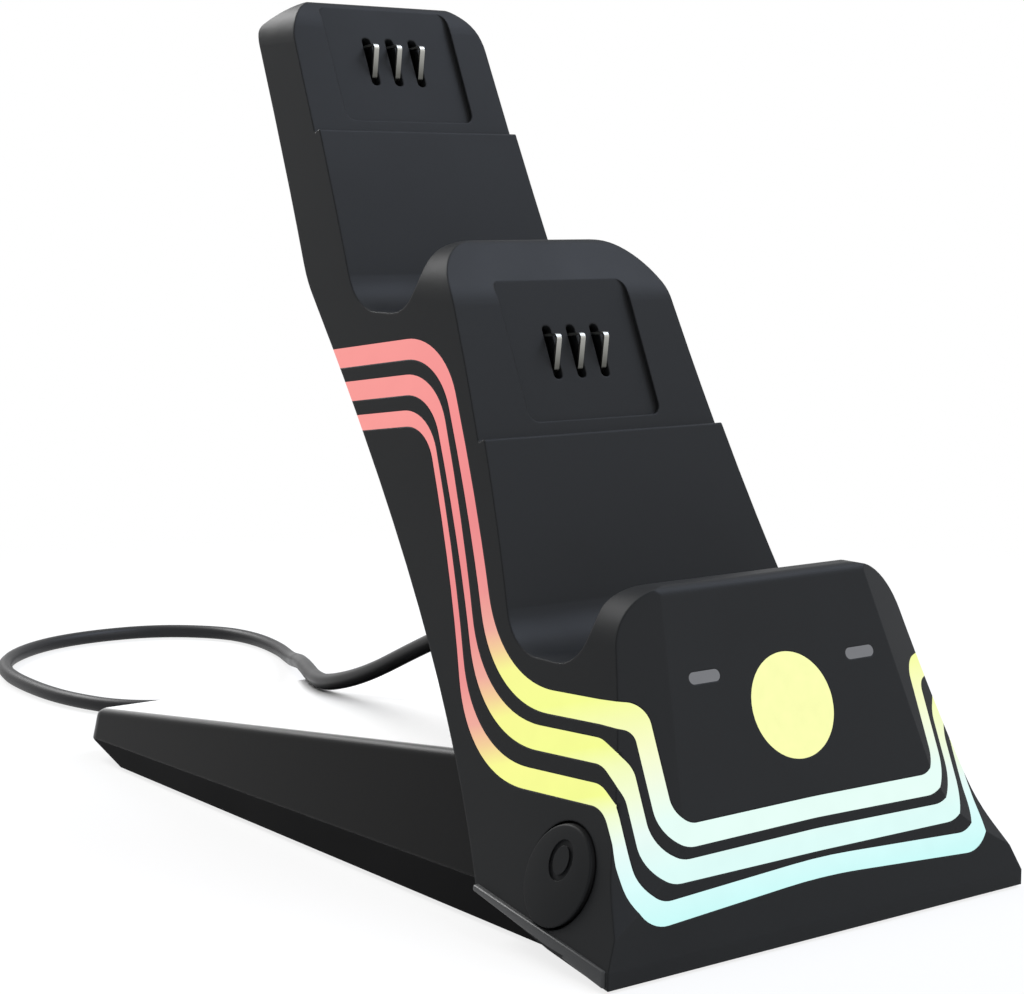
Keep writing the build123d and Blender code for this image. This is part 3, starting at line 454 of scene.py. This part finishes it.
def make_plug():
    """Moulded plug: rounded block, tapered to the lead, with finger grooves round it."""
    width, length, height = 15.6, 24.0, 8.0
    corner, taper, end_inset, end_sunk = 2.2, 5.5, 0.9, 0.3
    groove_y, groove_width, groove_pitch, groove_depth, groove_count = 7.5, 1.1, 2.4, 0.5, 4
    narrowed = (0.55, 1.0, 0.72)   # of the end that meets the lead
    starts = [groove_y + groove_pitch * index for index in range(groove_count)]
    grooves = [(start, start + groove_width) for start in starts]
    plug = start_block("plug_grip", spot(PLUG_X, PLUG_Y + length / 2, PLUG_Z), (width, length, height))
    select_edges(plug, lambda a, b: abs(a.y - b.y) > 0.9 * length * MM)
    bpy.ops.mesh.bevel(offset=corner * MM, segments=5, affect="EDGES")
    for y in [taper] + [end for groove in grooves for end in groove]:
        cut_across(spot(0, PLUG_Y + y, 0), (0, 1, 0))
    rear = spot(0, PLUG_Y, 0).y
    select_faces(plug, lambda middle, normal: normal.y < -0.9)
    bpy.ops.transform.resize(value=narrowed)
    for start, end in grooves:
        low, high = rear + start * MM, rear + end * MM
        select_faces(plug, lambda middle, normal: low < middle.y < high and abs(normal.y) < 0.1)
        bpy.ops.mesh.extrude_region_shrink_fatten(TRANSFORM_OT_shrink_fatten={"value": -groove_depth * MM})
    select_faces(plug, lambda middle, normal: normal.y > 0.9 and middle.y > rear + 0.99 * length * MM)
    bpy.ops.mesh.inset(thickness=end_inset * MM)
    bpy.ops.transform.translate(value=(0, -end_sunk * MM, 0))
    apply_modifier(plug, "BEVEL", width=0.25 * MM, segments=2, limit_method="ANGLE", angle_limit=math.radians(50))
    finish_piece(plug, lead_pvc, "dock")
    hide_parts("plug_body")
    return plug


def make_tie():
    """Hook-and-loop strap round one side of the coil, with its lapped end."""
    width, breadth, height, thickness, corner = 9.0, 18.0, 8.5, 0.6, 2.4
    lap_start, lap_end = -4.5, 5.0   # where the second layer lies, from the middle of the strap
    middle = spot(COIL_X, COIL_Y - 18.9, 4.4)
    tie = start_block("coil_strap", middle, (width, breadth, height))
    select_faces(tie, lambda place, normal: abs(normal.x) > 0.9)
    bpy.ops.mesh.delete(type="FACE")
    select_edges(tie, lambda a, b: abs(a.x - b.x) > 0.9 * width * MM)
    bpy.ops.mesh.bevel(offset=corner * MM, segments=6, affect="EDGES")
    apply_modifier(tie, "SOLIDIFY", thickness=thickness * MM, offset=-1.0)
    for y in (lap_start, lap_end):
        cut_across(middle + Vector((0, y * MM, 0)), (0, 1, 0))
    top = middle.z + 0.49 * height * MM
    select_faces(tie, lambda place, normal: place.z > top and normal.z > 0.9 and
                 lap_start * MM < place.y - middle.y < lap_end * MM)
    bpy.ops.mesh.extrude_region_move(TRANSFORM_OT_translate={"value": (0, 0, thickness * MM)})
    apply_modifier(tie, "BEVEL", width=0.15 * MM, segments=2, limit_method="ANGLE", angle_limit=math.radians(50))
    finish_piece(tie, strap_nylon, "dock")
    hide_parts("cord_tie")
    return tie


def make_button():
    """Mode button: a round cap cut to the lean of the side, with a softened rim and a sunk ring on its face."""
    y, z, radius, cap, stem = 17.7, 13.6, 7.8, 4.0, 2.5
    face_x, face_lean = 42.38, math.radians(21.5)
    rim, proud = 0.35, 0.9
    spare = 4.0   # extra length of the cylinder, for the slanted cut
    ring_outer, ring_inner, ring_depth, ring_up = 2.8, 1.8, 0.4, 2.6
    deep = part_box("mode_button")[1][0]
    face = spot(-face_x - proud, y, z)
    out = Vector((-math.cos(face_lean), 0.0, math.sin(face_lean)))
    ring_shift = Vector((math.sin(face_lean), 0.0, math.cos(face_lean))) * ring_up * MM
    bpy.ops.object.select_all(action="DESELECT")
    bpy.ops.mesh.primitive_cylinder_add(vertices=96, radius=radius * MM, depth=(2 * cap + spare) * MM,
                                        rotation=(0, math.pi / 2, 0), location=spot(-face_x - spare / 2, y, z))
    button = bpy.context.object
    button.name = "mode_button_cap"
    bpy.ops.object.transform_apply(location=True, rotation=True, scale=True)
    bpy.ops.object.mode_set(mode="EDIT")
    bpy.ops.mesh.select_all(action="SELECT")
    bpy.ops.mesh.bisect(plane_co=face, plane_no=out, use_fill=True, clear_outer=True)
    select_faces(button, lambda middle, normal: normal.dot(out) > 0.99)
    bpy.ops.mesh.bevel(offset=rim * MM, segments=4, affect="EDGES")
    select_faces(button, lambda middle, normal: normal.dot(out) > 0.999 and (middle - face).length < 1.0 * MM)
    bpy.ops.mesh.inset(thickness=(radius - rim - ring_outer) * MM)
    bpy.ops.transform.translate(value=ring_shift)
    bpy.ops.mesh.inset(thickness=(ring_outer - ring_inner) * MM)
    select_faces(button, lambda middle, normal: normal.dot(out) > 0.999 and
                 0.5 * ring_inner * MM < (middle - face - ring_shift).length < 1.3 * ring_outer * MM)
    bpy.ops.mesh.extrude_region_move(TRANSFORM_OT_translate={"value": tuple(-out * ring_depth * MM)})
    select_faces(button, lambda middle, normal: normal.x > 0.9)
    bpy.ops.mesh.inset(thickness=(radius - stem) * MM)
    back = spot(-face_x + cap, y, z).x
    bpy.ops.mesh.extrude_region_move(TRANSFORM_OT_translate={"value": (deep - back, 0, 0)})
    # The wall round the cap gets the dark nylon as painted shade for the shadowed gap round it
    button.data.materials.append(button_abs)
    button.data.materials.append(nylon_and_painted_shade)
    select_faces(button, lambda middle, normal: abs(normal.x) < 0.1)
    button.active_material_index = 1
    bpy.ops.object.material_slot_assign()
    finish_piece(button, None, "mode_button")
    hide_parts("mode_button")


def make_bead(name, side):
    """Raised bead along the lower rim of one side of the housing; it climbs to the rear and thins out."""
    front_y, rear_y, outer, depth, height = 0.6, 37.0, 48.5, 5.0, 10.0
    lower_z, lower_climb = 0.4, 0.178    # lower edge at the front, and its rise for each unit to the rear
    upper_z, upper_climb = 3.2, 0.13
    skin_x, skin_draw_in, skin_lean = 47.6, 0.034, 0.076   # outer face: place, turn to the rear and lean
    nose_x, nose_normal = 46.6, (0.35 * side, -0.94, 0)
    bead = start_block(name, spot(side * (outer - depth / 2), (front_y + rear_y) / 2, height / 2),
                       (depth, rear_y - front_y, height))
    cuts = [(spot(0, 0, lower_z), (0, lower_climb, -1)), (spot(0, 0, upper_z), (0, -upper_climb, 1)),
            (spot(side * skin_x, 0, 0), (side, skin_draw_in, skin_lean)),
            (spot(side * nose_x, front_y, 0), nose_normal)]
    for place, normal in cuts:
        bpy.ops.mesh.select_all(action="SELECT")
        bpy.ops.mesh.bisect(plane_co=place, plane_no=normal, use_fill=True, clear_outer=True)
    apply_modifier(bead, "BEVEL", width=0.3 * MM, segments=3, limit_method="ANGLE", angle_limit=math.radians(30))
    # Painted highlight: the bead's colour is paler than the housing's
    finish_piece(bead, bead_painted_highlight, "dock")


make_boot()
plug = make_plug()
strap = make_tie()
make_button()
for side_name, side in (("left", -1), ("right", 1)):
    make_bead(f"rim_bead_{side_name}", side)



def seen_directly(tree):
    """One for what the eye sees straight on, in a gloss or through glass, and zero for light that falls on things."""
    path = add(tree, "ShaderNodeLightPath")
    seen = add(tree, "ShaderNodeMath", {0: path.outputs["Is Camera Ray"], 1: path.outputs["Is Glossy Ray"]},
               operation="MAXIMUM")
    seen = add(tree, "ShaderNodeMath", {0: seen.outputs["Value"], 1: path.outputs["Is Transmission Ray"]},
               operation="MAXIMUM")
    return seen.outputs["Value"]


# Studio: white floor and backdrop, with the dock's own shadow near it
FLOOR_SIZE, FLOOR_DROP = 8.0, 0.0002   # metres
NEAR, FAR = 0.16, 0.40     # metres from the middle over which the floor turns to the white of the backdrop
bpy.ops.mesh.primitive_plane_add(size=FLOOR_SIZE, location=(0, 0, -FLOOR_DROP))
floor = bpy.context.object
floor.name = "studio_floor"
material, tree, output = start_material("white_sweep")
place = add(tree, "ShaderNodeTexCoord").outputs["Object"]
distance = add(tree, "ShaderNodeVectorMath", {0: place}, operation="LENGTH")
fade = add(tree, "ShaderNodeMapRange", {"Value": distance.outputs["Value"], "From Min": NEAR, "From Max": FAR,
                                        "To Min": 0.80, "To Max": 1.0}, interpolation_type="SMOOTHSTEP")
shade = add(tree, "ShaderNodeBsdfDiffuse", {"Color": linear("#f4f4f4")})
white = add(tree, "ShaderNodeEmission", {"Color": (1, 1, 1, 1), "Strength": 1.0})
mixed = add(tree, "ShaderNodeMixShader", {"Fac": fade.outputs["Result"]})
tree.links.new(shade.outputs["BSDF"], mixed.inputs[1])
tree.links.new(white.outputs["Emission"], mixed.inputs[2])
pick = add(tree, "ShaderNodeMixShader", {"Fac": seen_directly(tree)})
tree.links.new(shade.outputs["BSDF"], pick.inputs[1])
tree.links.new(mixed.outputs["Shader"], pick.inputs[2])
tree.links.new(pick.outputs["Shader"], output.inputs["Surface"])
floor.data.materials.append(material)

world = bpy.data.worlds.new("studio")
scene.world = world
world.use_nodes = True
tree = world.node_tree
tree.nodes.clear()
output = add(tree, "ShaderNodeOutputWorld")
level = add(tree, "ShaderNodeMapRange", {"Value": seen_directly(tree), "To Min": 0.5, "To Max": 1.0})
sky = add(tree, "ShaderNodeBackground", {"Color": (1, 1, 1, 1), "Strength": level.outputs["Result"]})
tree.links.new(sky.outputs["Background"], output.inputs["Surface"])


def softbox(name, place, aim, size, watts, colour):
    """A square studio lamp turned to a point."""
    lamp = bpy.data.lights.new(name, "AREA")
    lamp.size = size
    lamp.energy = watts
    lamp.color = linear(colour)[:3]
    lamp_object = bpy.data.objects.new(name, lamp)
    lamp_object.location = place
    lamp_object.rotation_euler = (Vector(aim) - Vector(place)).to_track_quat("-Z", "Y").to_euler()
    scene.collection.objects.link(lamp_object)


softbox("key", (0.25, -1.0, 0.5), (0, -0.02, 0.07), 0.6, 3.6, "#ffffff")
softbox("top", (0.55, -0.25, 1.0), (0, 0.0, 0.07), 0.7, 9.5, "#dce8ff")
softbox("rear", (-0.12, 0.85, 0.72), (0, -0.02, 0.09), 0.45, 9.0, "#ffffff")

scene.view_settings.view_transform = "Standard"
